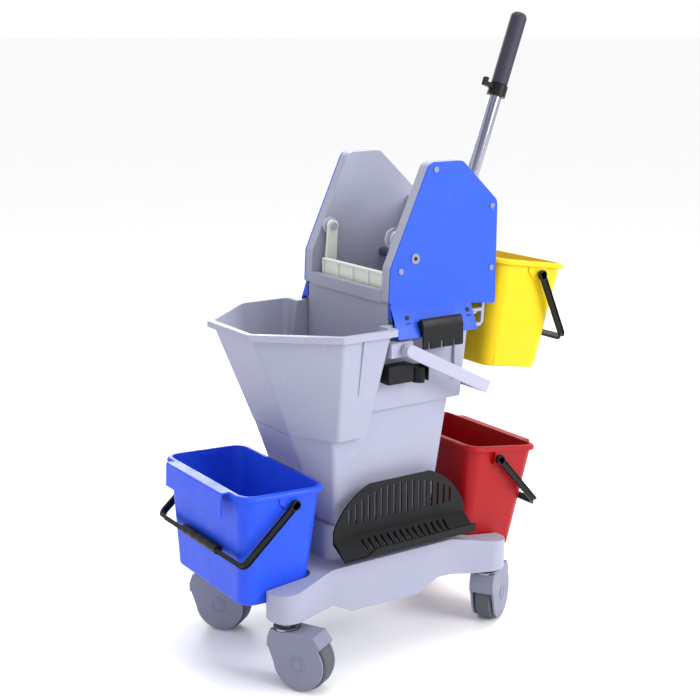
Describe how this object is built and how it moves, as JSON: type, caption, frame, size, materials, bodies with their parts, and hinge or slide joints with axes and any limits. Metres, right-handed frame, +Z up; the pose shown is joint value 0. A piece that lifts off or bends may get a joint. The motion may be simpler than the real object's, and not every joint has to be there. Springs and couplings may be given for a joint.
{
  "type": "housekeeping cart",
  "caption": "Wheeled mop cart with a main bucket, a lever-operated press, small side buckets, a side tray and swivel casters.",
  "frame": {"origin": "on the floor, midway between the four swivel axes, on the plane of symmetry", "axes": "+Z up, +X to the rear (the end with the lever), -X to the front (the end with the funnel)"},
  "size_m": [0.6317, 0.3765, 0.9886],
  "materials": {
    "grey_plastic": "moulded, satin",
    "light_plastic": "moulded, satin",
    "cover_blue": "moulded, semi-gloss",
    "black_plastic": "moulded, satin",
    "grip_black": "soft grip",
    "chrome_steel": "polished",
    "zinc_steel": "zinc plated",
    "white_plastic": "moulded",
    "pail_blue": "moulded, semi-gloss",
    "pail_red": "moulded, semi-gloss",
    "pail_yellow": "moulded, semi-gloss",
    "caster_grey": "moulded, satin",
    "tyre_grey": "soft tread"
  },
  "bodies": {
    "chassis": {"chassis": "grey_plastic", "caster_stems": "zinc_steel"},
    "swivel_fl": {"caster_fl_hood": "caster_grey", "caster_fl_axle": "zinc_steel"},
    "wheel_fl": {"caster_fl_hub": "caster_grey", "caster_fl_tyre": "tyre_grey"},
    "swivel_fr": {"caster_fr_hood": "caster_grey", "caster_fr_axle": "zinc_steel"},
    "wheel_fr": {"caster_fr_hub": "caster_grey", "caster_fr_tyre": "tyre_grey"},
    "swivel_rl": {"caster_rl_hood": "caster_grey", "caster_rl_axle": "zinc_steel"},
    "wheel_rl": {"caster_rl_hub": "caster_grey", "caster_rl_tyre": "tyre_grey"},
    "swivel_rr": {"caster_rr_hood": "caster_grey", "caster_rr_axle": "zinc_steel"},
    "wheel_rr": {"caster_rr_hub": "caster_grey", "caster_rr_tyre": "tyre_grey"},
    "side_tray": {"side_tray": "black_plastic"},
    "main_bucket": {"main_bucket": "grey_plastic", "bail_pins": "light_plastic", "mop_clip_bracket": "black_plastic", "mop_clip": "black_plastic"},
    "main_handle": {"bucket_bail": "light_plastic"},
    "press": {"press_body": "grey_plastic", "cover_left": "cover_blue", "cover_right": "cover_blue", "cover_screws": "zinc_steel", "tie_bolts": "zinc_steel", "press_clips": "black_plastic", "bucket_hanger": "light_plastic"},
    "lever": {"lever_tube": "chrome_steel", "lever_grip": "grip_black", "lever_collar": "black_plastic", "lever_socket": "black_plastic", "lever_shaft": "zinc_steel", "lever_cranks": "zinc_steel"},
    "jaw": {"press_jaw": "white_plastic", "jaw_hubs": "light_plastic", "jaw_cranks": "zinc_steel"},
    "link_left": {"rod_left": "zinc_steel"},
    "link_right": {"rod_right": "zinc_steel"},
    "pail_blue": {"bucket_blue": "pail_blue"},
    "handle_blue": {"bail_blue": "black_plastic"},
    "pail_red": {"bucket_red": "pail_red"},
    "handle_red": {"bail_red": "black_plastic"},
    "pail_yellow": {"bucket_yellow": "pail_yellow"},
    "handle_yellow": {"bail_yellow": "black_plastic"}
  },
  "joints": [
    {"name": "swivel_fl_turn", "type": "hinge", "parent": "chassis", "child": "swivel_fl", "pos_m": [-0.192, -0.126, 0.088], "axis": [0, 0, 1], "continuous": true},
    {"name": "wheel_fl_spin", "type": "hinge", "parent": "swivel_fl", "child": "wheel_fl", "pos_m": [-0.17792, -0.15249, 0.045], "axis": [0.8829, 0.4695, 0], "continuous": true},
    {"name": "swivel_fr_turn", "type": "hinge", "parent": "chassis", "child": "swivel_fr", "pos_m": [-0.192, 0.126, 0.088], "axis": [0, 0, 1], "continuous": true},
    {"name": "wheel_fr_spin", "type": "hinge", "parent": "swivel_fr", "child": "wheel_fr", "pos_m": [-0.17437, 0.10173, 0.045], "axis": [0.809, 0.5878, 0], "continuous": true},
    {"name": "swivel_rl_turn", "type": "hinge", "parent": "chassis", "child": "swivel_rl", "pos_m": [0.192, -0.126, 0.088], "axis": [0, 0, 1], "continuous": true},
    {"name": "wheel_rl_spin", "type": "hinge", "parent": "swivel_rl", "child": "wheel_rl", "pos_m": [0.21716, -0.10966, 0.045], "axis": [-0.5446, 0.8387, 0], "continuous": true},
    {"name": "swivel_rr_turn", "type": "hinge", "parent": "chassis", "child": "swivel_rr", "pos_m": [0.192, 0.126, 0.088], "axis": [0, 0, 1], "continuous": true},
    {"name": "wheel_rr_spin", "type": "hinge", "parent": "swivel_rr", "child": "wheel_rr", "pos_m": [0.21849, 0.14008, 0.045], "axis": [-0.4695, 0.8829, 0], "continuous": true},
    {"name": "tray_lift", "type": "slide", "parent": "chassis", "child": "side_tray", "axis": [0, 0, 1], "range_m": [0, 0.03]},
    {"name": "main_bucket_lift", "type": "slide", "parent": "chassis", "child": "main_bucket", "axis": [0, 0, 1], "range_m": [0, 0.06]},
    {"name": "main_handle_swing", "type": "hinge", "parent": "main_bucket", "child": "main_handle", "pos_m": [0.008, 0, 0.495], "axis": [0, -1, 0], "range_deg": [0, 18]},
    {"name": "press_lift", "type": "slide", "parent": "main_bucket", "child": "press", "axis": [0, 0, 1], "range_m": [0, 0.06]},
    {"name": "lever_swing", "type": "hinge", "parent": "press", "child": "lever", "pos_m": [0.138, 0, 0.6], "axis": [0, -1, 0], "range_deg": [0, 60]},
    {"name": "jaw_swing", "type": "hinge", "parent": "press", "child": "jaw", "pos_m": [0.032, 0, 0.652], "axis": [0, -1, 0], "range_deg": [0, 24]},
    {"name": "link_left_pivot", "type": "hinge", "parent": "lever", "child": "link_left", "pos_m": [0.1315, 0, 0.58874], "axis": [0, -1, 0], "range_deg": [-60, 0]},
    {"name": "link_right_pivot", "type": "hinge", "parent": "lever", "child": "link_right", "pos_m": [0.1315, 0, 0.58874], "axis": [0, -1, 0], "range_deg": [-60, 0]},
    {"name": "pail_blue_lift", "type": "slide", "parent": "chassis", "child": "pail_blue", "axis": [-0.6, 0, 0.8], "range_m": [0, 0.04]},
    {"name": "pail_red_lift", "type": "slide", "parent": "chassis", "child": "pail_red", "axis": [0.6, 0, 0.8], "range_m": [0, 0.03]},
    {"name": "pail_yellow_lift", "type": "slide", "parent": "press", "child": "pail_yellow", "axis": [0.1564, 0, 0.9877], "range_m": [0, 0.05]},
    {"name": "handle_blue_swing", "type": "hinge", "parent": "pail_blue", "child": "handle_blue", "pos_m": [-0.17839, 0, 0.28241], "axis": [0, 1, 0], "range_deg": [0, 130]},
    {"name": "handle_red_swing", "type": "hinge", "parent": "pail_red", "child": "handle_red", "pos_m": [0.21135, 0, 0.28214], "axis": [0, -1, 0], "range_deg": [0, 110]},
    {"name": "handle_yellow_swing", "type": "hinge", "parent": "pail_yellow", "child": "handle_yellow", "pos_m": [0.2892, 0, 0.57806], "axis": [0, -1, 0], "range_deg": [0, 150]}
  ],
  "couplings": [
    {"joint": "jaw_swing", "follows": "lever_swing", "ratio": 0.4},
    {"joint": "link_left_pivot", "follows": "lever_swing", "ratio": -1},
    {"joint": "link_right_pivot", "follows": "lever_swing", "ratio": -1}
  ]
}
